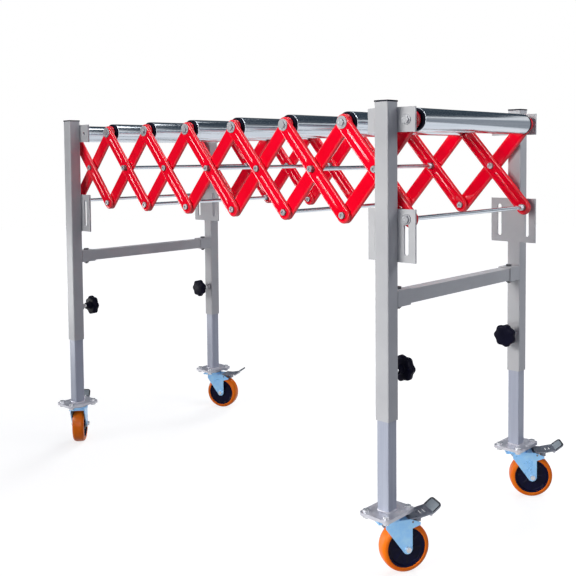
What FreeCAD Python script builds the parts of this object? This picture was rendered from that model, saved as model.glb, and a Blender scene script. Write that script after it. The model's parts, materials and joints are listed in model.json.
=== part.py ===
import FreeCAD, Part
import os
import re
import Sketcher
from math import pi
from FreeCAD import Rotation, Vector

# Expandable roller conveyor table, millimetres.
# X runs along the conveyor, Y along the rollers with the near side at -Y, Z is up.
# The origin is on the floor, under the middle of the lattice.

CELLS = 7  # scissor cells, with a roller at both ends of every cell
ROD_MIDDLES = (1, 3, 5)  # middle pivots whose bolt is a tie rod right across
ROD_BOTTOMS = (2, 5)  # bottom pivots with a tie rod
SIDES = {"near": -1, "far": 1}
ENDS = {"left": -1, "right": 1}
CORNERS = [(end, side) for end in ENDS for side in SIDES]
KNOB_LOBES = 7
SMALL = 1e-6

DRIVING = {
    # scissor lattice, pulled right out
    "cell_pitch": 180,
    "closed_pitch": 59,
    "arm_reach": 274,
    "arm_width": 38,
    "arm_depth": 7,
    "arm_sheet": 2.5,
    "arm_round": 4.5,
    "bead_width": 6,
    "bead_rise": 1,
    "bead_setback": 25,
    "layer_gap": 1.6,
    # pivots
    "pivot_dia": 10,
    "pivot_fit": 0.08,
    "seat_gap": 0.2,
    "shoulder_dia": 16,
    "collar_dia": 18,
    "collar_length": 10,
    "pivot_head_dia": 15,
    "pivot_head_height": 4,
    "rod_head_height": 9,
    "pivot_socket_flats": 6,
    "pivot_socket_depth": 2.5,
    "nut_flats": 15,
    "nut_height": 4,
    "flange_dia": 23,
    "axle_flange_dia": 29,
    "flange_height": 1.5,
    "head_flats": 15,
    "head_height": 4,
    # rollers
    "roller_dia": 50,
    "roller_wall": 1.5,
    "roller_length": 450,
    "roller_end_space": 10,
    "end_cap_dia": 49,
    "end_cap_projection": 8,
    "end_cap_plug": 18,
    "bearing_dia": 32,
    "bearing_width": 10,
    "axle_dia": 12,
    # leg frames
    "leg_top": 1000,
    "pivot_drop": 40,
    "leg_size": 35,
    "leg_wall": 2,
    "leg_corner": 3,
    "outer_leg_length": 667,
    "tube_cap_height": 3.5,
    "tube_cap_plug": 12,
    "plate_thickness": 4,
    "plate_width": 122,
    "plate_gap": 6,
    "top_plate_height": 52,
    "hole_offset": 38,
    "hole_clearance": 0.5,
    "slot_slack": 0.5,
    "slot_run_out": 9,
    "slot_margin": 15,
    # cross brace and its sockets
    "brace_drop": 415,
    "brace_size": 30,
    "brace_wall": 2,
    "brace_end_gap": 2,
    "socket_wall": 2,
    "socket_clearance": 0.5,
    "socket_length": 46,
    "brace_bolt_dia": 8,
    "brace_bolt_inset": 24,
    "brace_bolt_flats": 13,
    "brace_bolt_head": 5,
    "brace_bolt_tip": 2.5,
    # clamp screw and star knob
    "knob_rise": 98.5,
    "knob_dia": 58,
    "knob_thickness": 21,
    "knob_lobe_cut": 13,
    "knob_neck_dia": 22,
    "knob_neck_length": 14,
    "knob_standoff": 10,
    "stud_dia": 10,
    "stud_fit": 0.1,
    "clamp_nut_dia": 20,
    "clamp_nut_height": 8,
    # inner legs and feet
    "inner_leg_size": 30,
    "inner_leg_wall": 2,
    "inner_leg_corner": 2.5,
    "inner_leg_length": 450,
    "foot_plate_thickness": 4,
    "foot_length": 76,
    "foot_width": 100,
    "foot_corner": 9,
    "foot_bolt_inset": 12,
    "foot_bolt_dia": 8,
    "foot_bolt_flats": 13,
    "foot_bolt_head": 5,
    "foot_nut_height": 6,
    # castors
    "castor_height": 132,
    "castor_plate_thickness": 3,
    "wheel_dia": 108,
    "tyre_width": 35,
    "tyre_thickness": 11,
    "tyre_round": 10,
    "castor_trail": 38,
    "wheel_axle_dia": 8,
    "axle_nut_flats": 11,
    "axle_nut_height": 6.5,
    "axle_head_height": 3.5,
    "hub_boss_dia": 24,
    "hub_web": 24,
    "cheek_gap": 2,
    "cheek_thickness": 2.5,
    "cheek_end_radius": 11,
    "cheek_front": 11,
    "cheek_back_rise": 43,
    "cheek_tail": 18,
    "cheek_tail_depth": 5,
    "crown_thickness": 3.5,
    "crown_clearance": 6,
    "crown_front": 28,
    "race_dia": 54,
    "race_gap": 0.3,
    "dish_rim": 2,
    "dish_height": 5,
    "king_pin_dia": 12,
    "king_nut_dia": 18,
    "king_nut_height": 5,
    "pedal_width": 47,
    "pedal_sheet": 2.5,
    "pedal_reach": 118,
    "pedal_rise": 21,
    "pedal_pivot_offset": 50,
    "pedal_pin_dia": 5,
    "pedal_flat": 16,
    "pedal_lip": 20,
    "pedal_lip_rise": 6,
    "pedal_corner": 10,
    "pedal_slot_length": 18,
    "pedal_slot_width": 3,
    "pedal_slot_step": 9,
    "ear_length": 10,
    "shoe_length": 12,
    "shoe_width": 20,
    "shoe_gap": 3,
    "pedal_clearance": 0.5,
    "bush_wall": 2,
    "hub_rim": 4,
    "hub_inset": 1.5,
    "foot_bolt_tip": 1,
    # the way each castor trails, degrees from +X, as it was left standing
    "left_near_turn": 139,
    "left_far_turn": 23,
    "right_near_turn": 60,
    "right_far_turn": 40,
}

DERIVED = {
    "arm_angle": "acos(cell_pitch / arm_reach)",
    "rise": "sqrt(arm_reach^2 - cell_pitch^2)",
    "closed_rise": "sqrt(arm_reach^2 - closed_pitch^2)",
    "pivot_radius": "pivot_dia / 2",
    "eye_radius": "pivot_dia / 2 + pivot_fit",
    "end_x": f"cell_pitch * {CELLS / 2}",
    "leg_x": "end_x - hole_offset",
    "top_z": "leg_top - pivot_drop",
    "bottom_z": "top_z - rise",
    "middle_z": "top_z - rise / 2",
    # layers of the lattice along Y: the closed faces of the falling and rising arms
    "half_span": "roller_length / 2 + roller_end_space",
    "layer_step": "arm_depth + layer_gap",
    "falling_near": "-half_span - arm_depth - layer_step",
    "rising_near": "-half_span - arm_depth",
    "falling_far": "half_span",
    "rising_far": "half_span + layer_step",
    "lattice_half": "half_span + arm_depth + layer_step",
    "roller_end": "roller_length / 2 + end_cap_projection + seat_gap",
    "plate_inner": "lattice_half + plate_gap",
    "plate_outer": "plate_inner + plate_thickness",
    "leg_y": "plate_outer + leg_size / 2",
    "leg_bottom": "leg_top - tube_cap_height - outer_leg_length",
    "brace_height": "leg_top - brace_drop",
    "knob_height": "leg_bottom + knob_rise",
    "slot_radius": "pivot_dia / 2 + hole_clearance",
    "slot_top": "bottom_z + slot_slack",
    "slot_bottom": "top_z - closed_rise - slot_run_out",
    "socket_size": "brace_size + 2 * socket_clearance + 2 * socket_wall",
    "foot_z": "castor_height + foot_plate_thickness",
    "wheel_radius": "wheel_dia / 2",
    "hub_radius": "wheel_dia / 2 - tyre_thickness",
    "cheek_inner": "tyre_width / 2 + cheek_gap",
    "cheek_outer": "tyre_width / 2 + cheek_gap + cheek_thickness",
    "crown_bottom": "wheel_dia + crown_clearance",
    "crown_top": "crown_bottom + crown_thickness",
    "dish_top": "crown_top + dish_height",
    "pedal_bottom": "crown_top + seat_gap",
    "pedal_pin_z": "wheel_dia + pedal_clearance + pedal_pin_dia / 2",
    "shoe_start": "pedal_pivot_offset + shoe_length - castor_trail",  # from the wheel's axle
    "shoe_bottom": "wheel_radius + sqrt(wheel_radius^2 - shoe_start^2) + shoe_gap",
    "race_bottom": "dish_top + race_gap",
    "plate_bottom": "castor_height - castor_plate_thickness",
}

doc = FreeCAD.newDocument("roller_conveyor_table")
sheet = doc.addObject("Spreadsheet::Sheet", "Sizes")
for column, cells in (("A", DRIVING), ("D", DERIVED)):
    alias_column = chr(ord(column) + 1)
    for row, (alias, size) in enumerate(cells.items(), 1):
        sheet.set(f"{column}{row}", alias)
        sheet.set(f"{alias_column}{row}", str(size) if cells is DRIVING else f"={size}")
        sheet.setAlias(f"{alias_column}{row}", alias)
doc.recompute()

KNOWN = set(DRIVING) | set(DERIVED)


def formula(text):
    """The text with each of the sheet's names written as Sizes.name."""
    return re.sub("[a-z_]+", lambda word: f"Sizes.{word[0]}" if word[0] in KNOWN else word[0], str(text))


def bind(thing, **formulas):
    for name, text in formulas.items():
        thing.setExpression(name, formula(text))


def place(thing, x=0, y=0, z=0):
    for axis, text in zip("xyz", (x, y, z)):
        thing.setExpression(f"Placement.Base.{axis}", formula(text))


def box(name, length, width, height, x=0, y=0, z=0):
    """A block centred on x and y, standing on z."""
    block = doc.addObject("Part::Box", name)
    bind(block, Length=length, Width=width, Height=height)
    place(block, f"{x} - ({length}) / 2", f"{y} - ({width}) / 2", z)
    return block


def upright(name, radius, height, x=0, y=0, z=0):
    post = doc.addObject("Part::Cylinder", name)
    bind(post, Radius=radius, Height=height)
    place(post, x, y, z)
    return post


def across(name, radius, start, end, x=0, z=0):
    """A round bar along Y from start to end."""
    bar = doc.addObject("Part::Cylinder", name)
    bar.Placement.Rotation = Rotation(Vector(1, 0, 0), -90)
    bind(bar, Radius=radius, Height=f"({end}) - ({start})")
    place(bar, x, start, z)
    return bar


def hexagon(name, flats, height, x=0, y=0, z=0, along_y=False):
    prism = doc.addObject("Part::Prism", name)
    prism.Polygon = 6
    if along_y:
        prism.Placement.Rotation = Rotation(Vector(1, 0, 0), -90)
    bind(prism, Circumradius=f"({flats}) / sqrt(3)", Height=height)
    place(prism, x, y, z)
    return prism


def fuse(name, pieces):
    joined = doc.addObject("Part::MultiFuse", name)
    joined.Shapes = pieces
    joined.Refine = True
    return joined


def cut(name, base, tools):
    carved = doc.addObject("Part::Cut", name)
    carved.Base = base
    carved.Tool = tools[0] if len(tools) == 1 else fuse(name + "_tools", tools)
    return carved


def copy(master, name, x=0, y=0, z=0, turn=None, axis=Vector(0, 0, 1)):
    """A linked copy of a finished piece, moved and turned by formulas."""
    link = doc.addObject("App::Link", name)
    link.LinkedObject = master
    link.LinkTransform = True
    if turn is not None:
        link.Placement.Rotation = Rotation(axis, 30)
        link.setExpression("Placement.Rotation.Angle", formula(turn))
    place(link, x, y, z)
    return link


NODES = []


def node(name, pieces):
    group = doc.addObject("Part::Compound", name)
    group.Label = name
    group.Links = pieces
    NODES.append(group)
    return group


def place_copies(name, masters, x, y, z, turn=None):
    """A node made of linked copies of finished pieces."""
    node(name, [copy(piece, f"{name}_{piece.Name}", x, y, z, turn) for piece in masters])


def plane(body, role):
    return next(feature for feature in body.Origin.OriginFeatures if feature.Role == role)


def sketch(body, name, role):
    drawing = body.newObject("Sketcher::SketchObject", name)
    drawing.AttachmentSupport = (plane(body, role), [""])
    drawing.MapMode = "FlatFace"
    return drawing


def dimension(drawing, name, constraint, text):
    drawing.renameConstraint(drawing.addConstraint(constraint), name)
    drawing.setExpression(f"Constraints.{name}", formula(text))


def value(text):
    """The number that a formula gives now, for a sketch's first guess."""
    result = sheet.evalExpression(str(text))
    return float(getattr(result, "Value", result))


def outline(drawing, corners):
    """A closed polygon whose corners each have their own pair of dimensions."""
    points = [Vector(value(x), value(y), 0) for x, y in corners]
    count = len(points)
    for i in range(count):
        drawing.addGeometry(Part.LineSegment(points[i], points[(i + 1) % count]), False)
    for i in range(count):
        drawing.addConstraint(Sketcher.Constraint("Coincident", i, 2, (i + 1) % count, 1))
    for i, (x, y) in enumerate(corners):
        dimension(drawing, f"across_{i}", Sketcher.Constraint("DistanceX", i, 1, points[i].x), x)
        dimension(drawing, f"up_{i}", Sketcher.Constraint("DistanceY", i, 1, points[i].y), y)


def square(drawing, half_x, half_y):
    outline(drawing, [(f"-({half_x})", f"-({half_y})"), (half_x, f"-({half_y})"),
                      (half_x, half_y), (f"-({half_x})", half_y)])


def long_round(drawing, start, length, radius, tag):
    """A bar outline with two round ends, lying on the sketch's own X axis."""
    first = drawing.GeometryCount
    x0, reach, r = value(start), value(length), value(radius)
    quarter = pi / 2
    ends = [Vector(x0, 0, 0), Vector(x0 + reach, 0, 0)]
    side = Vector(0, r, 0)
    up = Vector(0, 0, 1)
    drawing.addGeometry(Part.LineSegment(ends[0] - side, ends[1] - side), False)
    drawing.addGeometry(Part.ArcOfCircle(Part.Circle(ends[1], up, r), -quarter, quarter), False)
    drawing.addGeometry(Part.LineSegment(ends[1] + side, ends[0] + side), False)
    drawing.addGeometry(Part.ArcOfCircle(Part.Circle(ends[0], up, r), quarter, 3 * quarter), False)
    for i in range(4):
        drawing.addConstraint(Sketcher.Constraint("Tangent", first + i, 2, first + (i + 1) % 4, 1))
    drawing.addConstraint(Sketcher.Constraint("PointOnObject", first + 3, 3, -1))
    drawing.addConstraint(Sketcher.Constraint("PointOnObject", first + 1, 3, -1))
    dimension(drawing, f"{tag}_start", Sketcher.Constraint("DistanceX", first + 3, 3, x0), start)
    far_end = Sketcher.Constraint("DistanceX", first + 1, 3, x0 + reach)
    dimension(drawing, f"{tag}_end", far_end, f"{start} + {length}")
    dimension(drawing, f"{tag}_radius", Sketcher.Constraint("Radius", first + 3, r), radius)


def circle(drawing, tag, x, radius):
    """A circle with its centre on the sketch's own X axis."""
    i = drawing.GeometryCount
    centre = Vector(value(x), 0, 0)
    drawing.addGeometry(Part.Circle(centre, Vector(0, 0, 1), value(radius)), False)
    drawing.addConstraint(Sketcher.Constraint("PointOnObject", i, 3, -1))
    dimension(drawing, f"{tag}_across", Sketcher.Constraint("DistanceX", i, 3, centre.x), x)
    dimension(drawing, f"{tag}_radius", Sketcher.Constraint("Radius", i, value(radius)), radius)


def feature(body, kind, name, profile, **formulas):
    step = body.newObject(f"PartDesign::{kind}", name)
    step.Profile = profile
    bind(step, **formulas)
    return step


def edges_where(shape, test):
    return [f"Edge{i}" for i, edge in enumerate(shape.Edges, 1) if test(edge)]


def is_circle(edge, radius):
    return isinstance(edge.Curve, Part.Circle) and abs(edge.Curve.Radius - radius) < SMALL


def round_edges(body, name, base, test, radius):
    doc.recompute()
    fillet = body.newObject("PartDesign::Fillet", name)
    fillet.Base = (base, edges_where(base.Shape, test))
    bind(fillet, Radius=radius)
    return fillet


def make_arm(layer):
    """A pressed channel from pivot to pivot, its closed face on Y 0, with beads on a falling arm."""
    body = doc.addObject("PartDesign::Body", f"{layer}_blank")
    outer = sketch(body, f"{layer}_outline", "XZ_Plane")
    long_round(outer, "0", "arm_reach", "arm_width / 2", "bar")
    pad = feature(body, "Pad", f"{layer}_pad", outer, Length="arm_depth")
    pad.Reversed = True
    channel = sketch(body, f"{layer}_channel_outline", "XZ_Plane")
    channel.setExpression("AttachmentOffset.Base.z", formula("-arm_sheet"))
    long_round(channel, "0", "arm_reach", "arm_width / 2 - arm_sheet", "channel")
    hollow = feature(body, "Pocket", f"{layer}_channel", channel)
    hollow.Type = "ThroughAll"
    eyes = sketch(body, f"{layer}_eyes", "XZ_Plane")
    for tag, along in (("first", 0), ("middle", "arm_reach / 2"), ("last", "arm_reach")):
        circle(eyes, tag, along, "eye_radius")
    holes = feature(body, "Pocket", f"{layer}_eye_holes", eyes)
    holes.Type = "ThroughAll"
    half_width = value("arm_width / 2")

    def on_face_edge(edge):
        flat = abs(edge.BoundBox.YMin) < SMALL and abs(edge.BoundBox.YMax) < SMALL
        return flat and (isinstance(edge.Curve, Part.Line) or is_circle(edge, half_width))

    round_edges(body, f"{layer}_edge_round", holes, on_face_edge, "min(arm_round; arm_depth - arm_sheet)")
    if layer == "falling":
        beads = sketch(body, "bead_outline", "XZ_Plane")
        bead_length = "arm_reach / 2 - 2 * bead_setback"
        long_round(beads, "bead_setback", bead_length, "bead_width / 2", "first")
        long_round(beads, "arm_reach / 2 + bead_setback", bead_length, "bead_width / 2", "second")
        feature(body, "Pad", "beads", beads, Length="bead_rise")
    return body


def shaft(name, x, z, steps):
    """A round bar along Y with steps of (start, end, radius)."""
    return fuse(name, [across(f"{name}_step", radius, start, end, x, z) for start, end, radius in steps])


def nut(name, x, z, start):
    blank = hexagon(f"{name}_blank", "nut_flats", "nut_height", x, start, z, along_y=True)
    bore = across(f"{name}_bore", "pivot_radius + pivot_fit", start, f"{start} + nut_height", x, z)
    return cut(name, blank, [bore])


def flange_bolt(name, x, z, face, outward, flange_size):
    """A hex head on a flange, seated at Y face and pointing outward (+1 or -1)."""
    flange_start = face if outward > 0 else f"{face} - flange_height"
    flange_end = f"{flange_start} + flange_height"
    head_start = flange_end if outward > 0 else f"{flange_start} - head_height"
    flange = across(f"{name}_flange", f"{flange_size} / 2", flange_start, flange_end, x, z)
    head = hexagon(f"{name}_head", "head_flats", "head_height", x, head_start, z, along_y=True)
    return fuse(name, [flange, head])


def end_bolts(name, x, z, near, far, flange_size="flange_dia"):
    near_bolt = flange_bolt(f"{name}_near_bolt", x, z, near, -1, flange_size)
    return [near_bolt, flange_bolt(f"{name}_far_bolt", x, z, far, 1, flange_size)]


def socket_bolt(name, x, z, seat, head_height, steps):
    """A stepped bolt whose round head, with a hex socket, sits on Y seat and points to -Y."""
    face = f"{seat} - {head_height}"
    bolt = shaft(f"{name}_blank", x, z, [(face, seat, "pivot_head_dia / 2")] + steps)
    hollow = hexagon(f"{name}_socket", "pivot_socket_flats", "pivot_socket_depth", x, face, z, along_y=True)
    return cut(name, bolt, [hollow])


def pivot_bolts(name, x, z):
    """A shouldered bolt and nut in each side's pair of arms."""
    pieces = []
    for side in SIDES:
        seat = f"falling_{side} - seat_gap"
        nut_seat = f"rising_{side} + arm_sheet + seat_gap"
        pieces.append(socket_bolt(f"{name}_{side}_bolt", x, z, seat, "pivot_head_height", [
            (seat, f"{nut_seat} + nut_height", "pivot_radius"),
            (f"falling_{side} + arm_sheet + seat_gap", f"rising_{side} - seat_gap", "shoulder_dia / 2"),
        ]))
        pieces.append(nut(f"{name}_{side}_nut", x, z, nut_seat))
    return pieces


def tie_rod(name, x, z, head_height):
    """A rod through both pairs of arms, with shoulders between the layers and collars inside."""
    seat, nut_seat = "falling_near - seat_gap", "rising_far + arm_sheet + seat_gap"
    shoulder = "shoulder_dia / 2"
    rod = socket_bolt(f"{name}_rod", x, z, seat, head_height, [
        (seat, f"{nut_seat} + nut_height", "pivot_radius"),
        ("falling_near + arm_sheet + seat_gap", "rising_near - seat_gap", shoulder),
        ("rising_near + arm_sheet + seat_gap", "rising_near + arm_sheet + collar_length", shoulder),
        ("falling_far - collar_length", "falling_far - seat_gap", shoulder),
        ("falling_far + arm_sheet + seat_gap", "rising_far - seat_gap", shoulder),
    ])
    return [rod, nut(f"{name}_nut", x, z, nut_seat)]


def roller_axle(name, x):
    """A middle roller's axle: journals through both pairs of arms, a flanged bolt at each end."""
    near, far = "falling_near - seat_gap", "rising_far + arm_sheet + seat_gap"
    axle = shaft(f"{name}_axle", x, "top_z", [
        (near, far, "pivot_radius"),
        ("-roller_end", "roller_end", "axle_dia / 2"),
        ("falling_near + arm_sheet + seat_gap", "rising_near - seat_gap", "shoulder_dia / 2"),
        ("rising_near + arm_sheet + seat_gap", "-roller_end", "collar_dia / 2"),
        ("roller_end", "falling_far - seat_gap", "collar_dia / 2"),
        ("falling_far + arm_sheet + seat_gap", "rising_far - seat_gap", "shoulder_dia / 2"),
    ])
    return [axle] + end_bolts(name, x, "top_z", near, far, "axle_flange_dia")


def end_axle(name, end, x):
    """The first or last roller's axle, bolted through the top plates of a leg frame."""
    layer = "falling" if end == "left" else "rising"
    near, far = f"{layer}_near", f"{layer}_far"
    axle = shaft(f"{name}_axle", x, "top_z", [
        ("-plate_outer", "plate_outer", "pivot_radius"),
        ("-roller_end", "roller_end", "axle_dia / 2"),
        ("-plate_inner", f"{near} - seat_gap", "shoulder_dia / 2"),
        (f"{near} + arm_sheet + seat_gap", "-roller_end", "collar_dia / 2"),
        ("roller_end", f"{far} - seat_gap", "collar_dia / 2"),
        (f"{far} + arm_sheet + seat_gap", "plate_inner", "shoulder_dia / 2"),
    ])
    return [axle] + end_bolts(name, x, "top_z", "-plate_outer", "plate_outer")


def slot_rod(name, end, x):
    """The tie rod whose ends slide in the slots of a leg frame's lower plates."""
    layer = "rising" if end == "left" else "falling"
    near, far = f"{layer}_near", f"{layer}_far"
    reach = "plate_outer + seat_gap"
    shoulder = "shoulder_dia / 2"
    rod = shaft(f"{name}_rod", x, "bottom_z", [
        (f"-({reach})", reach, "pivot_radius"),
        ("-plate_inner + seat_gap", f"{near} - seat_gap", shoulder),
        (f"{near} + arm_sheet + seat_gap", f"{near} + arm_sheet + collar_length", shoulder),
        (f"{far} - collar_length", f"{far} - seat_gap", shoulder),
        (f"{far} + arm_sheet + seat_gap", "plate_inner - seat_gap", shoulder),
    ])
    return [rod] + end_bolts(name, x, "bottom_z", f"-({reach})", reach)


def make_lattice():
    blanks = {layer: make_arm(layer) for layer in ("falling", "rising")}
    for i in range(CELLS):
        number = i + 1
        start_x = f"cell_pitch * {i - CELLS / 2}"
        middle_x = f"cell_pitch * {i + 0.5 - CELLS / 2}"
        end_x = f"cell_pitch * {i + 1 - CELLS / 2}"
        for layer, start_z, down in (("falling", "top_z", 1), ("rising", "bottom_z", -1)):
            arms = [copy(blanks[layer], f"{layer}_{number}_{side}", start_x, f"{layer}_{side}", start_z,
                         "arm_angle", Vector(0, down, 0)) for side in SIDES]
            node(f"{layer}_arms_{number}", arms)

        tag = f"cell_{number}"
        if i == 0:
            hardware = slot_rod(f"{tag}_slot", "left", start_x)
        elif i in ROD_BOTTOMS:
            hardware = tie_rod(f"{tag}_bottom", start_x, "bottom_z", "pivot_head_height")
        else:
            hardware = pivot_bolts(f"{tag}_bottom", start_x, "bottom_z")
        if i in ROD_MIDDLES:
            hardware += tie_rod(f"{tag}_middle", middle_x, "middle_z", "rod_head_height")
        else:
            hardware += pivot_bolts(f"{tag}_middle", middle_x, "middle_z")
        if number < CELLS:
            hardware += roller_axle(tag, end_x)
        node(f"rising_pivots_{number}", hardware)
    node(f"falling_pivots_{CELLS}", slot_rod("last_slot", "right", "end_x"))


def make_rollers():
    """Tube, end caps and bearings, modelled once about the roller's own axis and copied."""
    rim = "roller_length / 2"
    inner, outer = f"{rim} - end_cap_plug", f"{rim} + end_cap_projection"
    tube = cut("roller_tube", across("roller_outside", "roller_dia / 2", f"-{rim}", rim),
               [across("roller_bore", "roller_dia / 2 - roller_wall", f"-{rim}", rim)])
    pieces = [tube]
    for side, sign in SIDES.items():

        def barrel(name, radius, start, end):
            low, high = (start, end) if sign > 0 else (f"-({end})", f"-({start})")
            return across(f"{side}_{name}", radius, low, high)

        blank = fuse(f"{side}_cap_blank", [
            barrel("cap_boss", "end_cap_dia / 2", rim, outer),
            barrel("cap_plug", "roller_dia / 2 - roller_wall - pivot_fit", inner, rim),
        ])
        seat_end = f"{inner} + bearing_width"
        mouth = barrel("cap_mouth", "axle_dia / 2 + bush_wall", inner, outer)
        seat = barrel("bearing_seat", "bearing_dia / 2", inner, seat_end)
        ring = barrel("bearing_ring", "bearing_dia / 2 - pivot_fit", inner, seat_end)
        bore = barrel("bearing_bore", "axle_dia / 2 + pivot_fit", inner, seat_end)
        pieces += [cut(f"{side}_cap", blank, [mouth, seat]), cut(f"{side}_bearing", ring, [bore])]
    for i in range(CELLS + 1):
        place_copies(f"roller_{i + 1}", pieces, f"cell_pitch * {i - CELLS / 2}", 0, "top_z")


def square_bar(name, size, length, z, corner):
    """An upright square bar on the Z axis with rounded corners."""
    body = doc.addObject("PartDesign::Body", name)
    drawing = sketch(body, f"{name}_outline", "XY_Plane")
    drawing.setExpression("AttachmentOffset.Base.z", formula(z))
    square(drawing, f"({size}) / 2", f"({size}) / 2")
    pad = feature(body, "Pad", f"{name}_pad", drawing, Length=length)
    round_edges(body, f"{name}_corners", pad, lambda edge: edge.BoundBox.ZLength > SMALL, corner)
    return body


def make_leg_masters():
    """An outer leg and what is welded to it. The leg's axis is Z, and +Y faces the frame's other leg."""
    face = "leg_size / 2"
    bore = "leg_size - 2 * leg_wall"
    screw_radius = "stud_dia / 2 + stud_fit"
    bar = square_bar("leg_bar", "leg_size", "outer_leg_length", "leg_bottom", "leg_corner")
    tube = cut("leg_tube", bar, [
        box("leg_bore", bore, bore, "outer_leg_length", z="leg_bottom"),
        across("screw_hole", screw_radius, 0, face, z="knob_height"),
    ])

    plate_y = "(leg_size + plate_thickness) / 2"
    plate_end = f"{face} + plate_thickness"
    top_holes, slots = [], []
    for name, x in (("first", "-hole_offset"), ("second", "hole_offset")):
        top_holes.append(across(f"{name}_hole", "slot_radius", face, plate_end, x, "top_z"))
        slots.append(across(f"{name}_slot_top", "slot_radius", face, plate_end, x, "slot_top"))
        slots.append(across(f"{name}_slot_foot", "slot_radius", face, plate_end, x, "slot_bottom"))
        slots.append(box(f"{name}_slot", "2 * slot_radius", "plate_thickness", "slot_top - slot_bottom",
                         x, plate_y, "slot_bottom"))
    top_blank = box("top_plate_blank", "plate_width", "plate_thickness", "top_plate_height",
                    0, plate_y, "top_z - top_plate_height / 2")
    slot_edge = "slot_radius + slot_margin"
    lower_blank = box("lower_plate_blank", "plate_width", "plate_thickness",
                      f"slot_top - slot_bottom + 2 * ({slot_edge})",
                      0, plate_y, f"slot_bottom - ({slot_edge})")

    socket_y, socket_z = "(leg_size + socket_length) / 2", "brace_height - socket_size / 2"
    socket_bore = "brace_size + 2 * socket_clearance"
    socket = cut("brace_socket", box("socket_outside", "socket_size", "socket_length", "socket_size",
                                     0, socket_y, socket_z), [
        box("socket_bore", socket_bore, "socket_length", socket_bore,
            0, socket_y, f"{socket_z} + socket_wall"),
        upright("socket_hole", "brace_bolt_dia / 2 + hole_clearance", "socket_size",
                0, f"{face} + brace_bolt_inset", socket_z),
    ])
    nut_end = f"{face} + clamp_nut_height"
    nut_blank = across("clamp_nut_blank", "clamp_nut_dia / 2", face, nut_end, z="knob_height")
    nut_thread = across("clamp_nut_thread", screw_radius, face, nut_end, z="knob_height")
    return [tube, cut("top_plate", top_blank, top_holes), cut("lower_plate", lower_blank, slots),
            socket, cut("clamp_nut", nut_blank, [nut_thread])]


def make_knob_masters():
    """A star knob and its clamp screw in the leg's own frame, the screw pointing to the leg's axis."""
    body = doc.addObject("PartDesign::Body", "knob_star")
    grip_start = "leg_size / 2 + clamp_nut_height + knob_standoff"
    grip_end = f"{grip_start} + knob_neck_length"
    disc = sketch(body, "knob_outline", "XZ_Plane")
    disc.setExpression("AttachmentOffset.Base.z", formula(f"-({grip_end})"))
    circle(disc, "disc", 0, "knob_dia / 2")
    head = feature(body, "Pad", "knob_head", disc, Length="knob_thickness")
    head.Reversed = True
    notch = sketch(body, "knob_notch_outline", "XZ_Plane")
    notch.setExpression("AttachmentOffset.Base.z", formula(f"-({grip_end})"))
    circle(notch, "notch", "knob_dia / 2 + knob_lobe_cut / 4", "knob_lobe_cut / 2")
    scallop = feature(body, "Pocket", "knob_notch", notch)
    scallop.Type = "ThroughAll"
    doc.recompute()
    star = body.newObject("PartDesign::PolarPattern", "knob_notches")
    star.Originals = [scallop]
    star.Axis = (disc, ["N_Axis"])
    star.Angle = 360
    star.Occurrences = KNOB_LOBES
    body.Tip = star

    screw_end = f"{grip_end} + knob_thickness / 2"
    neck = across("knob_neck", "knob_neck_dia / 2", grip_start, grip_end)
    bore = across("knob_bore", "stud_dia / 2", grip_start, screw_end)
    grip = cut("knob_grip", fuse("knob_body", [body, neck]), [bore])
    screw = across("clamp_screw", "stud_dia / 2", "leg_size / 2 - leg_wall + seat_gap", screw_end)
    return [grip, screw]


def rounded_plate(name, thickness, bottom, spots):
    """A foot's rectangular plate with rounded corners and four bolt holes."""
    body = doc.addObject("PartDesign::Body", f"{name}_blank")
    drawing = sketch(body, f"{name}_outline", "XY_Plane")
    drawing.setExpression("AttachmentOffset.Base.z", formula(bottom))
    square(drawing, "foot_length / 2", "foot_width / 2")
    pad = feature(body, "Pad", f"{name}_pad", drawing, Length=thickness)
    round_edges(body, f"{name}_corners", pad, lambda edge: edge.BoundBox.ZLength > SMALL, "foot_corner")
    hole = "foot_bolt_dia / 2 + hole_clearance"
    holes = [upright(f"{name}_hole", hole, thickness, x, y, bottom) for x, y in spots]
    return cut(name, body, holes)


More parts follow.
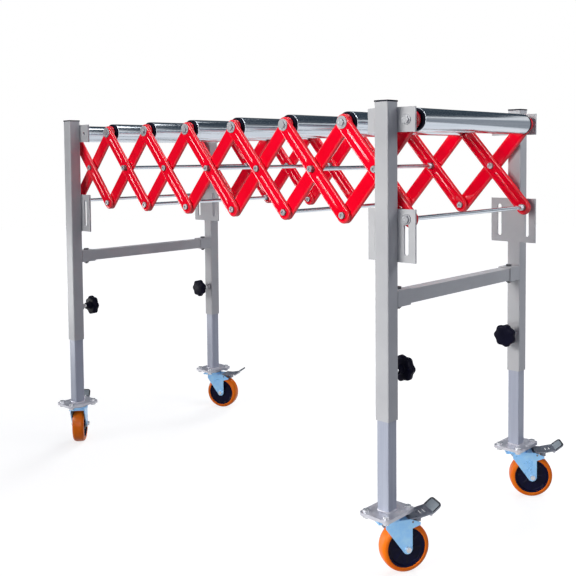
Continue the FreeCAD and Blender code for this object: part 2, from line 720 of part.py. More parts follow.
def make_foot_masters():
    """A telescopic leg, its foot plate and the still part of the castor, about the leg's own axis."""
    bore = "inner_leg_size - 2 * inner_leg_wall"
    blank = square_bar("inner_bar", "inner_leg_size", "inner_leg_length", "foot_z", "inner_leg_corner")
    tube = cut("inner_tube", blank, [box("inner_bore", bore, bore, "inner_leg_length", z="foot_z")])
    bolt_x, bolt_y = "(foot_length / 2 - foot_bolt_inset)", "(foot_width / 2 - foot_bolt_inset)"
    spots = [(f"{sx} * {bolt_x}", f"{sy} * {bolt_y}") for sx in (-1, 1) for sy in (-1, 1)]
    foot = rounded_plate("foot_plate", "foot_plate_thickness", "castor_height", spots)
    top = rounded_plate("castor_plate", "castor_plate_thickness", "plate_bottom", spots)

    pin_bottom = "crown_bottom - seat_gap - king_nut_height"
    king_pin = fuse("king_pin", [
        upright("swivel_race", "race_dia / 2", "plate_bottom - race_bottom", z="race_bottom"),
        upright("king_pin_shank", "king_pin_dia / 2", f"plate_bottom - ({pin_bottom})", z=pin_bottom),
        upright("king_pin_head", "king_nut_dia / 2", "king_nut_height", z=pin_bottom),
    ])
    pieces = [tube, foot, top, king_pin]
    nut_z = "plate_bottom - foot_nut_height"
    for i, (x, y) in enumerate(spots, 1):
        shank = upright(f"foot_shank_{i}", "foot_bolt_dia / 2", f"foot_z - ({nut_z}) + foot_bolt_tip",
                        x, y, f"{nut_z} - foot_bolt_tip")
        head = hexagon(f"foot_head_{i}", "foot_bolt_flats", "foot_bolt_head", x, y, "foot_z")
        blank = hexagon(f"foot_nut_blank_{i}", "foot_bolt_flats", "foot_nut_height", x, y, nut_z)
        thread = upright(f"foot_thread_{i}", "foot_bolt_dia / 2 + pivot_fit", "foot_nut_height", x, y, nut_z)
        pieces += [fuse(f"foot_bolt_{i}", [shank, head]), cut(f"foot_nut_{i}", blank, [thread])]
    return pieces


def make_legs():
    legs, knobs, feet = make_leg_masters(), make_knob_masters(), make_foot_masters()
    for end, side in CORNERS:
        tag = f"{end}_{side}"
        x, y = f"{ENDS[end]} * leg_x", f"{SIDES[side]} * leg_y"
        facing = 0 if side == "near" else 180
        place_copies(f"{tag}_leg", legs, x, y, 0, facing)
        place_copies(f"{tag}_knob", knobs, x, y, "knob_height", facing)
        place_copies(f"{tag}_inner_leg", feet, x, y, 0)


def make_frame_fittings(end):
    """The cross brace of one leg frame, its bolts, the end roller's axle and the tube caps."""
    x = f"{ENDS[end]} * leg_x"
    length = "2 * (leg_y - leg_size / 2 - brace_end_gap)"
    bore = "brace_size - 2 * brace_wall"
    low = "brace_height - brace_size / 2"
    hole = "brace_bolt_dia / 2 + hole_clearance"
    bolt_spots = [f"{sy} * (leg_y - leg_size / 2 - brace_bolt_inset)" for sy in SIDES.values()]
    blank = box(f"{end}_brace_outside", "brace_size", length, "brace_size", x, 0, low)
    hollow = box(f"{end}_brace_bore", bore, length, bore, x, 0, f"{low} + brace_wall")
    holes = [upright(f"{end}_brace_hole", hole, "brace_size", x, y, low) for y in bolt_spots]
    node(f"{end}_brace", [cut(f"{end}_brace_tube", blank, [hollow] + holes)])

    fasteners = end_axle(f"{end}_end", end, f"{ENDS[end]} * end_x")
    top, bottom = "brace_height + socket_size / 2", "brace_height - socket_size / 2"
    nut_z = f"{bottom} - brace_bolt_head"
    for side, y in zip(SIDES, bolt_spots):
        tag = f"{end}_{side}_brace"
        shank = upright(f"{tag}_shank", "brace_bolt_dia / 2",
                        "socket_size + brace_bolt_head + brace_bolt_tip", x, y, f"{nut_z} - brace_bolt_tip")
        head = hexagon(f"{tag}_head", "brace_bolt_flats", "brace_bolt_head", x, y, top)
        blank = hexagon(f"{tag}_nut_blank", "brace_bolt_flats", "brace_bolt_head", x, y, nut_z)
        thread = upright(f"{tag}_thread", "brace_bolt_dia / 2 + pivot_fit", "brace_bolt_head", x, y, nut_z)
        fasteners += [fuse(f"{tag}_bolt", [shank, head]), cut(f"{tag}_nut", blank, [thread])]
    node(f"{end}_fasteners", fasteners)

    caps = []
    plug_size = "leg_size - 2 * leg_wall - 2 * seat_gap"
    lid_z = "leg_top - tube_cap_height"
    for side, sy in SIDES.items():
        y = f"{sy} * leg_y"
        lid = box(f"{end}_{side}_lid", "leg_size", "leg_size", "tube_cap_height", x, y, lid_z)
        plug = box(f"{end}_{side}_plug", plug_size, plug_size, "tube_cap_plug",
                   x, y, f"{lid_z} - tube_cap_plug")
        caps.append(fuse(f"{end}_{side}_cap", [lid, plug]))
    node(f"{end}_tube_caps", caps)


def turned(name, profile):
    """A body turned about its own Y axis from corners of (radius, along Y)."""
    body = doc.addObject("PartDesign::Body", name)
    drawing = sketch(body, f"{name}_profile", "XY_Plane")
    outline(drawing, profile)
    spin = feature(body, "Revolution", f"{name}_turn", drawing)
    spin.ReferenceAxis = (drawing, ["V_Axis"])
    spin.Angle = 360
    return body, spin


def make_wheel_masters():
    """Tyre, hub and bush about their own axle, along Y."""
    half = "tyre_width / 2"
    tyre, turn = turned("tyre", [("hub_radius", f"-{half}"), ("wheel_radius", f"-{half}"),
                                 ("wheel_radius", half), ("hub_radius", half)])
    tread = value("wheel_radius")
    round_edges(tyre, "tyre_shoulders", turn, lambda edge: is_circle(edge, tread),
                "min(tyre_round; 0.9 * tyre_thickness; 0.45 * tyre_width)")
    bore, boss, rim = "wheel_axle_dia / 2 + bush_wall", "hub_boss_dia / 2", "hub_radius - hub_rim"
    boss_end, web, rim_end = "cheek_inner - seat_gap", "hub_web / 2", "tyre_width / 2 - hub_inset"
    upper = [(bore, boss_end), (boss, boss_end), (boss, web),
             (rim, web), (rim, rim_end), ("hub_radius", rim_end)]
    lower = [(radius, f"-({along})") for radius, along in reversed(upper)]
    hub, _ = turned("hub", upper + lower)
    bush = cut("bush", across("bush_outside", bore, f"-({boss_end})", boss_end),
               [across("bush_bore", "wheel_axle_dia / 2 + pivot_fit", f"-({boss_end})", boss_end)])
    return [tyre, hub, bush]


def make_fork_masters():
    """The swivelling fork and its wheel axle about the king pin's axis, with the wheel trailing on +X."""
    body = doc.addObject("PartDesign::Body", "cheek")
    drawing = sketch(body, "cheek_outline", "XZ_Plane")
    back, tail = "castor_trail + cheek_end_radius", "pedal_pivot_offset + cheek_tail"
    outline(drawing, [
        (back, "wheel_radius"),
        (back, "wheel_radius + cheek_back_rise"),
        (tail, "wheel_dia - cheek_tail_depth"),
        (tail, "wheel_dia"),
        ("pedal_pivot_offset - ear_length / 2", "crown_top"),
        ("-cheek_front", "crown_top"),
        ("-cheek_front", "wheel_dia - crown_clearance"),
        ("castor_trail - cheek_end_radius * cos(30)", "wheel_radius - cheek_end_radius * sin(30)"),
    ])
    feature(body, "Pad", "cheek_pad", drawing, Length="cheek_thickness")
    axle_spot = ("castor_trail", "wheel_radius")
    pieces = []
    for side, start in (("near", "-cheek_outer"), ("far", "cheek_inner")):
        end = f"{start} + cheek_thickness"
        pieces.append(copy(body, f"{side}_cheek", 0, end, 0))
        pieces.append(across(f"{side}_cheek_end", "cheek_end_radius", start, end, *axle_spot))
    crown_back = "pedal_pivot_offset - ear_length"
    pieces.append(box("crown", f"crown_front + {crown_back}", "2 * cheek_outer", "crown_thickness",
                      f"({crown_back} - crown_front) / 2", 0, "crown_bottom"))
    pieces.append(upright("dish", "race_dia / 2 + dish_rim", "dish_height", z="crown_top"))
    frame = cut("fork_frame", fuse("fork_blank", pieces), [
        upright("king_pin_hole", "king_pin_dia / 2 + pivot_fit", "dish_top - crown_bottom",
                z="crown_bottom"),
        across("axle_hole", "wheel_axle_dia / 2 + pivot_fit", "-cheek_outer", "cheek_outer", *axle_spot),
        across("pedal_pin_hole", "pedal_pin_dia / 2 + pivot_fit", "-cheek_outer", "cheek_outer",
               "pedal_pivot_offset", "pedal_pin_z"),
    ])
    axle = [across("wheel_axle_bar", "wheel_axle_dia / 2", "-cheek_outer", "cheek_outer", *axle_spot)]
    for name, y in (("head", "cheek_outer"), ("nut", "-cheek_outer - axle_nut_height")):
        axle.append(hexagon(f"wheel_axle_{name}", "axle_nut_flats", f"axle_{name}_height",
                            "castor_trail", y, "wheel_radius", along_y=True))
    return [frame, fuse("wheel_axle", axle)]


def make_pedal_masters():
    """The brake pedal, bent from sheet, with its ears, pin and shoe, in the fork's own frame."""
    body = doc.addObject("PartDesign::Body", "pedal_tread")
    drawing = sketch(body, "pedal_outline", "XZ_Plane")
    start, ramp = "pedal_pivot_offset - ear_length / 2", "pedal_pivot_offset + pedal_flat"
    lip, lean = "pedal_reach - pedal_lip", "pedal_sheet / 2"
    outline(drawing, [
        (start, "pedal_bottom"),
        (ramp, "pedal_bottom"),
        (lip, "pedal_bottom + pedal_lip_rise"),
        ("pedal_reach", "pedal_bottom + pedal_rise"),
        (f"pedal_reach - {lean}", "pedal_bottom + pedal_rise + pedal_sheet"),
        (f"{lip} - {lean}", "pedal_bottom + pedal_lip_rise + pedal_sheet"),
        (ramp, "pedal_bottom + pedal_sheet"),
        (start, "pedal_bottom + pedal_sheet"),
    ])
    pad = feature(body, "Pad", "pedal_pad", drawing, Length="pedal_width")
    pad.Midplane = True
    tip = value(f"pedal_reach - 2 * {lean}")

    def on_tip(edge):
        return edge.BoundBox.XMin > tip and edge.BoundBox.YLength < SMALL

    round_edges(body, "pedal_tongue", pad, on_tip, "pedal_corner")
    slots = [box(f"pedal_slot_{i}", "pedal_slot_width", "pedal_slot_length",
                 "pedal_lip_rise + 2 * pedal_sheet", f"{ramp} + {i} * pedal_slot_step", 0, "pedal_bottom")
             for i in (1, 2)]
    ear_base = "wheel_dia + pedal_clearance"
    ear_height = f"pedal_bottom + pedal_sheet / 2 - ({ear_base})"
    ears = [box(f"{side}_ear", "ear_length", "pedal_sheet", ear_height, "pedal_pivot_offset",
                f"{sy} * (cheek_inner - pedal_sheet)", ear_base) for side, sy in SIDES.items()]
    pin = across("pedal_pin", "pedal_pin_dia / 2", "-cheek_outer", "cheek_outer",
                 "pedal_pivot_offset", "pedal_pin_z")
    shoe_x = "pedal_pivot_offset + 1.5 * shoe_length"
    shoe = box("brake_shoe", "shoe_length", "shoe_width", "pedal_bottom - shoe_bottom",
               shoe_x, 0, "shoe_bottom")
    return [cut("pedal_plate", fuse("pedal_blank", [body] + ears + [pin]), slots), shoe]


def make_castors():
    wheel, fork, pedal = make_wheel_masters(), make_fork_masters(), make_pedal_masters()
    for end, side in CORNERS:
        tag = f"{end}_{side}"
        x, y, turn = f"{ENDS[end]} * leg_x", f"{SIDES[side]} * leg_y", f"{tag}_turn"
        place_copies(f"{tag}_fork", fork, x, y, 0, turn)
        place_copies(f"{tag}_pedal", pedal, x, y, 0, turn)
        place_copies(f"{tag}_wheel", wheel, f"{x} + castor_trail * cos({turn})",
                     f"{y} + castor_trail * sin({turn})", "wheel_radius", turn)


make_lattice()
make_rollers()
make_legs()
for frame_end in ENDS:
    make_frame_fittings(frame_end)
make_castors()
doc.recompute()

for thing in doc.Objects:
    if "Invalid" in thing.State or "Error" in thing.State:
        raise RuntimeError(f"{thing.Label} did not build: {thing.State}")
os.makedirs("parts", exist_ok=True)
for group in NODES:
    if group.Shape.isNull() or not group.Shape.isValid():
        raise RuntimeError(f"{group.Label} has no valid shape")
    group.Shape.exportStep(f"parts/{group.Label}.step")
print(len(NODES), "nodes written")
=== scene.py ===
import bpy
import bmesh
import json
import numpy as np
from math import cos, sin, pi, radians
from mathutils import Matrix, Vector


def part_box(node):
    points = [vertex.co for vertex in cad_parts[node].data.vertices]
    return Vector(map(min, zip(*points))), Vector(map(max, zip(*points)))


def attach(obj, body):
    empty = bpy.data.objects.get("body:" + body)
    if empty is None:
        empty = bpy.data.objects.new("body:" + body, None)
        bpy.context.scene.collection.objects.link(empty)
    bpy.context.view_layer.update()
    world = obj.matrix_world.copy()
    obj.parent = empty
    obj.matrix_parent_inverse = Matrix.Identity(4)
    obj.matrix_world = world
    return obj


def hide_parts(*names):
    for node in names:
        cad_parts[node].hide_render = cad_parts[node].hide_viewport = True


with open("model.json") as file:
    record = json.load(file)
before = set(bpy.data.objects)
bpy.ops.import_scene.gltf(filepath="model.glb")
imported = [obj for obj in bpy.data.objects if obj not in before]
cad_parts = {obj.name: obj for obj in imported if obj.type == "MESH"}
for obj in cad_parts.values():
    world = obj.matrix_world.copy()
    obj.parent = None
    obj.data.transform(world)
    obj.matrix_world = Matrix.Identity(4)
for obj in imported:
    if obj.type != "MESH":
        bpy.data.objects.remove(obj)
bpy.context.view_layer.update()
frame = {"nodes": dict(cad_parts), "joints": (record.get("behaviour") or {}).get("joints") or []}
nodes = frame["nodes"]
joints = {joint["name"]: joint for joint in frame["joints"]}
ends = ("left", "right")
sides = {"near": -1, "far": 1}
corners = [f"{end}_{side}" for end in ends for side in sides]
cellNumbers = range(1, 8)
rollerNumbers = range(1, 9)
mm = 0.001
print("frame loaded:", len(nodes), "CAD nodes")


# node groups shared by the finishes

def feed(tree, socket, value):
    # another node's output is linked, and anything else is set as a constant
    if isinstance(value, bpy.types.NodeSocket):
        tree.links.new(value, socket)
    else:
        socket.default_value = (*value, 1) if socket.type == "RGBA" else value


def newGroup(name, inputs, outputs):
    group = bpy.data.node_groups.new(name, "ShaderNodeTree")
    for label, kind, value in inputs:
        group.interface.new_socket(label, in_out="INPUT", socket_type=kind).default_value = value
    for label, kind in outputs:
        group.interface.new_socket(label, in_out="OUTPUT", socket_type=kind)
    return group, group.nodes.new("NodeGroupInput").outputs, group.nodes.new("NodeGroupOutput").inputs


def noiseIn(tree, vector, detail, roughness):
    noise = tree.nodes.new("ShaderNodeTexNoise")
    for label, value in (("Scale", 1), ("Detail", detail), ("Roughness", roughness), ("Vector", vector)):
        feed(tree, noise.inputs[label], value)
    return noise.outputs["Fac"]


def rangeIn(tree, value, low, high, toLow=0.0, toHigh=1.0):
    step = tree.nodes.new("ShaderNodeMapRange")
    labels = ("Value", "From Min", "From Max", "To Min", "To Max")
    for label, given in zip(labels, (value, low, high, toLow, toHigh)):
        feed(tree, step.inputs[label], given)
    return step.outputs["Result"]


def mathIn(tree, operation, first, second):
    step = tree.nodes.new("ShaderNodeMath")
    step.operation = operation
    feed(tree, step.inputs[0], first)
    feed(tree, step.inputs[1], second)
    return step.outputs[0]


# places of the colour sockets on a mix node
mixSockets = dict(factor=0, first=6, second=7, result=2)


def mixIn(tree, factor, first, second):
    mix = tree.nodes.new("ShaderNodeMix")
    mix.data_type = "RGBA"
    feed(tree, mix.inputs[mixSockets["factor"]], factor)
    feed(tree, mix.inputs[mixSockets["first"]], first)
    feed(tree, mix.inputs[mixSockets["second"]], second)
    return mix.outputs[mixSockets["result"]]


def scaledPlace(tree, scale):
    # object coordinates times a scale: lumps of the pattern per metre along each axis
    place = tree.nodes.new("ShaderNodeTexCoord")
    times = tree.nodes.new("ShaderNodeVectorMath")
    times.operation = "MULTIPLY"
    feed(tree, times.inputs[0], place.outputs["Object"])
    feed(tree, times.inputs[1], scale)
    return times.outputs["Vector"]


driftNoise = dict(detail=5, roughness=0.6, low=0.32, high=0.68)


def makeToneDrift():
    # two tones and two roughnesses that drift into each other over the surface
    group, given, out = newGroup("toneDrift", [
        ("Scale", "NodeSocketVector", (10, 10, 10)),
        ("First Tone", "NodeSocketColor", (0.5, 0.5, 0.5, 1)),
        ("Second Tone", "NodeSocketColor", (0.6, 0.6, 0.6, 1)),
        ("First Roughness", "NodeSocketFloat", 0.3),
        ("Second Roughness", "NodeSocketFloat", 0.4),
    ], [("Color", "NodeSocketColor"), ("Roughness", "NodeSocketFloat")])
    drift = noiseIn(group, scaledPlace(group, given["Scale"]), driftNoise["detail"], driftNoise["roughness"])
    mask = rangeIn(group, drift, driftNoise["low"], driftNoise["high"])
    feed(group, out["Color"], mixIn(group, mask, given["First Tone"], given["Second Tone"]))
    feed(group, out["Roughness"], rangeIn(group, mask, 0, 1, given["First Roughness"],
                                          given["Second Roughness"]))
    return group


grainNoise = dict(detail=2, roughness=0.5)


def makeGrain():
    # height of a fine grain: pebbles of paint, moulding texture or drawn lines, by its scale
    group, given, out = newGroup("fineGrain", [("Scale", "NodeSocketVector", (600, 600, 600))],
                                 [("Height", "NodeSocketFloat")])
    feed(group, out["Height"], noiseIn(group, scaledPlace(group, given["Scale"]), **grainNoise))
    return group


scuffNoise = dict(detail=7, roughness=0.72, least=0.86, fade=0.07)


def makeScuffs():
    # mask of sparse rubbed flecks, more of them where Amount is higher
    group, given, out = newGroup("scuffs", [
        ("Scale", "NodeSocketVector", (60, 60, 60)),
        ("Amount", "NodeSocketFloat", 0.3),
    ], [("Mask", "NodeSocketFloat")])
    fleck = noiseIn(group, scaledPlace(group, given["Scale"]), scuffNoise["detail"], scuffNoise["roughness"])
    least = mathIn(group, "SUBTRACT", scuffNoise["least"], given["Amount"])
    full = mathIn(group, "ADD", least, scuffNoise["fade"])
    feed(group, out["Mask"], rangeIn(group, fleck, least, full))
    return group


dustNoise = dict(scale=45, detail=6, roughness=0.65, low=0.3, high=0.7, slopeLow=0.55, slopeHigh=0.95)


def makeSettledDust():
    # mask of dust on faces that look up, broken by a soft noise
    group, given, out = newGroup("settledDust", [("Amount", "NodeSocketFloat", 0.3)],
                                 [("Mask", "NodeSocketFloat")])
    place = group.nodes.new("ShaderNodeTexCoord")
    facing = group.nodes.new("ShaderNodeSeparateXYZ")
    feed(group, facing.inputs[0], place.outputs["Normal"])
    size = group.nodes.new("ShaderNodeVectorMath")
    size.operation = "SCALE"
    feed(group, size.inputs["Scale"], dustNoise["scale"])
    feed(group, size.inputs[0], place.outputs["Object"])
    cloud = noiseIn(group, size.outputs[0], dustNoise["detail"], dustNoise["roughness"])
    patches = rangeIn(group, cloud, dustNoise["low"], dustNoise["high"])
    up = rangeIn(group, facing.outputs["Z"], dustNoise["slopeLow"], dustNoise["slopeHigh"])
    both = mathIn(group, "MULTIPLY", patches, up)
    feed(group, out["Mask"], mathIn(group, "MULTIPLY", both, given["Amount"]))
    return group


toneDrift, fineGrain, scuffs, settledDust = makeToneDrift(), makeGrain(), makeScuffs(), makeSettledDust()


# the finishes

# the darker red ring round each pivot on the arms
pivotRing = dict(outer=10.2, inner=8.2, share=0.55, tone=(0.16, 0.004, 0.008))
dustTone = (0.46, 0.44, 0.41)


def addGroup(tree, group, **values):
    step = tree.nodes.new("ShaderNodeGroup")
    step.node_tree = group
    for label, value in values.items():
        feed(tree, step.inputs[label.replace("_", " ")], value)
    return step.outputs


def even(count):
    return (count, count, count)


def finish(name, tones, rough, drift, grain, bump, fleckTone, fleckScale, fleckShare, dust=0.0, ringed=False,
           **sockets):
    # one finish: drifting tones, a fine grain in the normal, flecks and dust over the colour;
    # bump is (strength, height in mm), and the scales are lumps per metre along X, Y and Z
    material = bpy.data.materials.new(name)
    material.use_nodes = True
    tree = material.node_tree
    shader = tree.nodes["Principled BSDF"]
    tone = addGroup(tree, toneDrift, Scale=drift, First_Tone=tones[0], Second_Tone=tones[1],
                    First_Roughness=rough[0], Second_Roughness=rough[1])
    flecks = addGroup(tree, scuffs, Scale=fleckScale, Amount=fleckShare)["Mask"]
    colour = mixIn(tree, flecks, tone["Color"], fleckTone)
    if ringed:
        # a darker red ring round each pivot, by the mesh's own distance in mm
        reach = tree.nodes.new("ShaderNodeAttribute")
        reach.attribute_name = "pivotDistance"
        ring = rangeIn(tree, reach.outputs["Fac"], pivotRing["outer"], pivotRing["inner"], 0,
                       pivotRing["share"])
        colour = mixIn(tree, ring, colour, pivotRing["tone"])
    if dust:
        colour = mixIn(tree, addGroup(tree, settledDust, Amount=dust)["Mask"], colour, dustTone)
    relief = tree.nodes.new("ShaderNodeBump")
    feed(tree, relief.inputs["Strength"], bump[0])
    feed(tree, relief.inputs["Distance"], bump[1] * mm)
    feed(tree, relief.inputs["Height"], addGroup(tree, fineGrain, Scale=grain)["Height"])
    feed(tree, shader.inputs["Base Color"], colour)
    feed(tree, shader.inputs["Roughness"], tone["Roughness"])
    feed(tree, shader.inputs["Normal"], relief.outputs["Normal"])
    for label, value in sockets.items():
        shader.inputs[label.replace("_", " ")].default_value = value
    return material


redEnamel = finish(
    "redEnamel", tones=[(0.92, 0.0, 0.016), (1.0, 0.001, 0.024)], rough=(0.05, 0.08), drift=even(9),
    grain=even(420), bump=(0.02, 0.25), fleckTone=(0.5, 0.004, 0.012), fleckScale=even(150), fleckShare=0.12,
    ringed=True, Specular_IOR_Level=0.4)
rollerZinc = finish(
    "rollerZinc", tones=[(0.50, 0.55, 0.61), (0.61, 0.65, 0.70)], rough=(0.13, 0.22), drift=(160, 2.5, 160),
    grain=(900, 14, 900), bump=(0.05, 0.12), fleckTone=(0.42, 0.45, 0.48), fleckScale=(70, 9, 70),
    fleckShare=0.16, Metallic=1.0)
greyPowder = finish(
    "greyPowder", tones=[(0.46, 0.465, 0.48), (0.53, 0.535, 0.545)], rough=(0.38, 0.48), drift=even(7),
    grain=even(800), bump=(0.16, 0.3), fleckTone=(0.30, 0.30, 0.31), fleckScale=(120, 120, 40),
    fleckShare=0.14, dust=0.18, Specular_IOR_Level=0.4)
brightZinc = finish(
    "brightZinc", tones=[(0.36, 0.385, 0.47), (0.44, 0.47, 0.55)], rough=(0.32, 0.42), drift=(150, 150, 3),
    grain=(700, 700, 10), bump=(0.10, 0.15), fleckTone=(0.30, 0.32, 0.38), fleckScale=(90, 90, 12),
    fleckShare=0.14, Metallic=0.1, Specular_IOR_Level=0.3)
plateZinc = finish(
    "plateZinc", tones=[(0.52, 0.52, 0.57), (0.64, 0.64, 0.69)], rough=(0.28, 0.42), drift=even(60),
    grain=even(500), bump=(0.12, 0.15), fleckTone=(0.26, 0.26, 0.29), fleckScale=even(130), fleckShare=0.2,
    dust=0.1, Metallic=0.4)
boltSteel = finish(
    "boltSteel", tones=[(0.60, 0.61, 0.63), (0.70, 0.71, 0.73)], rough=(0.20, 0.30), drift=even(90),
    grain=even(700), bump=(0.05, 0.1), fleckTone=(0.40, 0.40, 0.41), fleckScale=even(180), fleckShare=0.10,
    Metallic=0.55)
# painted shade: a darker steel for the sideways flanks of bolt heads and washers, in place of the shade that
# falls on them
flankShadeSteel = finish(
    "flankShadeSteel", tones=[(0.20, 0.20, 0.22), (0.28, 0.28, 0.30)], rough=(0.30, 0.42), drift=even(90),
    grain=even(700), bump=(0.08, 0.1), fleckTone=(0.14, 0.14, 0.15), fleckScale=even(170), fleckShare=0.14,
    Metallic=0.7)
rodZinc = finish(
    "rodZinc", tones=[(0.52, 0.57, 0.63), (0.60, 0.64, 0.69)], rough=(0.12, 0.18), drift=(40, 4, 40),
    grain=(600, 12, 600), bump=(0.03, 0.1), fleckTone=(0.45, 0.48, 0.52), fleckScale=(90, 12, 90),
    fleckShare=0.08, Metallic=1.0)
darkBolt = finish(
    "darkBolt", tones=[(0.05, 0.052, 0.058), (0.09, 0.09, 0.1)], rough=(0.3, 0.42), drift=even(90),
    grain=even(700), bump=(0.12, 0.12), fleckTone=(0.2, 0.2, 0.21), fleckScale=even(170), fleckShare=0.2,
    Metallic=0.7)
blackPlastic = finish(
    "blackPlastic", tones=[(0.004, 0.004, 0.012), (0.007, 0.007, 0.019)], rough=(0.34, 0.46), drift=even(25),
    grain=even(1100), bump=(0.18, 0.2), fleckTone=(0.014, 0.014, 0.026), fleckScale=even(140),
    fleckShare=0.14, Specular_IOR_Level=0.04)
hubPlastic = finish(
    "hubPlastic", tones=[(0.003, 0.003, 0.02), (0.006, 0.006, 0.034)], rough=(0.16, 0.24), drift=even(40),
    grain=even(1000), bump=(0.08, 0.15), fleckTone=(0.01, 0.01, 0.035), fleckScale=even(160),
    fleckShare=0.14, Specular_IOR_Level=0.08)
orangeTread = finish(
    "orangeTread", tones=[(1.0, 0.165, 0.0), (1.0, 0.215, 0.004)], rough=(0.30, 0.42), drift=even(30),
    grain=even(500), bump=(0.15, 0.2), fleckTone=(0.75, 0.10, 0.0), fleckScale=even(110), fleckShare=0.12,
    Specular_IOR_Level=0.2)
forkZinc = finish(
    "forkZinc", tones=[(0.26, 0.58, 0.98), (0.40, 0.71, 1.0)], rough=(0.26, 0.38), drift=even(45),
    grain=even(450), bump=(0.12, 0.15), fleckTone=(0.28, 0.42, 0.60), fleckScale=even(130), fleckShare=0.14,
    Metallic=0.35)
pedalZinc = finish(
    "pedalZinc", tones=[(0.15, 0.16, 0.20), (0.23, 0.25, 0.29)], rough=(0.26, 0.4), drift=even(60),
    grain=even(500), bump=(0.14, 0.15), fleckTone=(0.42, 0.43, 0.46), fleckScale=even(120), fleckShare=0.2,
    Metallic=0.5)
padGrey = finish(
    "padGrey", tones=[(0.19, 0.23, 0.26), (0.25, 0.29, 0.32)], rough=(0.42, 0.55), drift=even(50),
    grain=even(800), bump=(0.15, 0.15), fleckTone=(0.30, 0.33, 0.36), fleckScale=even(140), fleckShare=0.18,
    dust=0.1)
pedalRubber = finish(
    "pedalRubber", tones=[(0.018, 0.02, 0.024), (0.032, 0.034, 0.04)], rough=(0.45, 0.6), drift=even(60),
    grain=even(900), bump=(0.2, 0.2), fleckTone=(0.07, 0.07, 0.075), fleckScale=even(150), fleckShare=0.16,
    Specular_IOR_Level=0.25)
print("finishes made:", len(bpy.data.materials))


# surfaces on grids

mergeReach = 2e-6


def surface(points, slot=0, closeRows=False, closeCols=False):
    # quads between the neighbours of a grid of points, wrapped where it is closed
    rows, cols = points.shape[:2]
    index = np.arange(rows * cols).reshape(rows, cols)
    index = np.vstack([index, index[:1]]) if closeRows else index
    index = np.hstack([index, index[:, :1]]) if closeCols else index
    faces = np.stack([index[:-1, :-1], index[1:, :-1], index[1:, 1:], index[:-1, 1:]], -1).reshape(-1, 4)
    return points.reshape(-1, 3), faces, np.full(len(faces), slot)


def roundedLine(points, radii, steps):
    # corners cut back by their radius and bridged by (1-t)^2 a + 2 t (1-t) corner + t^2 b
    corner, cutBack = np.array(points, float), np.array(radii, float)[:, None]
    before, after = np.roll(corner, 1, 0) - corner, np.roll(corner, -1, 0) - corner
    first = corner + before / np.linalg.norm(before, axis=1, keepdims=True) * cutBack
    last = corner + after / np.linalg.norm(after, axis=1, keepdims=True) * cutBack
    t = np.linspace(0, 1, steps)[None, :, None]
    arcs = (1 - t) ** 2 * first[:, None] + 2 * t * (1 - t) * corner[:, None] + t ** 2 * last[:, None]
    return arcs.reshape(-1, 2)


def mirroredLine(side, radii, steps):
    # a closed section that is the same on both sides of the middle plane
    return roundedLine(side + [(r, -y) for r, y in side[::-1]], radii + radii[::-1], steps)


def turned(profile, count, slot=0):
    # a closed profile of (radius, along) carried round the Y axis: (r cos a, along, r sin a), in mm
    angle = np.linspace(0, 2 * pi, count, endpoint=False)
    radius, along = profile.T
    points = np.stack([np.outer(np.cos(angle), radius), np.tile(along, (count, 1)),
                       np.outer(np.sin(angle), radius)], -1)
    return surface(points * mm, slot, True, True)


def carriedCircle(path, across, size, count):
    # a circle carried along a flat path: path + size * (cos a * across + sin a * up), in mm
    around = np.linspace(0, 2 * pi, count, endpoint=False)
    flat = path[:, None] + across[:, None] * (size[:, None] * np.cos(around))[..., None]
    return np.concatenate([flat, (size[:, None] * np.sin(around))[..., None]], -1)


def smoothStep(low, high, value):
    t = np.clip((value - low) / (high - low), 0, 1)
    return t * t * (3 - 2 * t)


def placed(part, origin, axes):
    # points carried into the frame whose X, Y and Z run along the three axes
    points, faces, slots = part
    return points @ np.array(axes, float) + np.array(origin, float), faces, slots


def makePiece(name, parts, materials, body, replaced=(), sharpAngle=40, values=None):
    starts = np.cumsum([0] + [len(part[0]) for part in parts])
    points = np.concatenate([part[0] for part in parts]).astype(np.float32)
    faces = np.concatenate([part[1] + start for part, start in zip(parts, starts)]).astype(np.int32)
    slots = np.concatenate([part[2] for part in parts]).astype(np.int32)
    mesh = bpy.data.meshes.new(name)
    mesh.vertices.add(len(points))
    mesh.vertices.foreach_set("co", points.ravel())
    mesh.loops.add(faces.size)
    mesh.loops.foreach_set("vertex_index", faces.ravel())
    mesh.polygons.add(len(faces))
    mesh.polygons.foreach_set("loop_start", np.arange(0, faces.size, faces.shape[1], dtype=np.int32))
    mesh.polygons.foreach_set("material_index", slots)
    mesh.update(calc_edges=True)
    if values is not None:
        layer = mesh.attributes.new("pivotDistance", "FLOAT", "POINT")
        layer.data.foreach_set("value", np.asarray(values, np.float32))
    # seams and poles are merged, then every shell is turned outwards
    shell = bmesh.new()
    shell.from_mesh(mesh)
    bmesh.ops.remove_doubles(shell, verts=shell.verts, dist=mergeReach)
    bmesh.ops.recalc_face_normals(shell, faces=shell.faces)
    shell.to_mesh(mesh)
    shell.free()
    mesh.polygons.foreach_set("use_smooth", np.ones(len(mesh.polygons), bool))
    mesh.set_sharp_from_angle(angle=radians(sharpAngle))
    for material in materials:
        mesh.materials.append(material)
    piece = bpy.data.objects.new(name, mesh)
    bpy.context.scene.collection.objects.link(piece)
    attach(piece, body)
    if replaced:
        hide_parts(*replaced)


# scissor arms

armShape = dict(width=38, depth=7, sheet=2.5, edgeRound=6, rimRound=0.6, innerRound=0.8, faceMarks=(5, 8),
                beadWidth=5, beadRise=1, beadCrest=0.12, beadMarks=(0.22, 0.5, 0.9, 1, 1.1), beadSetback=25,
                sideSteps=72, endSteps=22, bendSteps=8, rimSteps=4, sharpAngle=50)


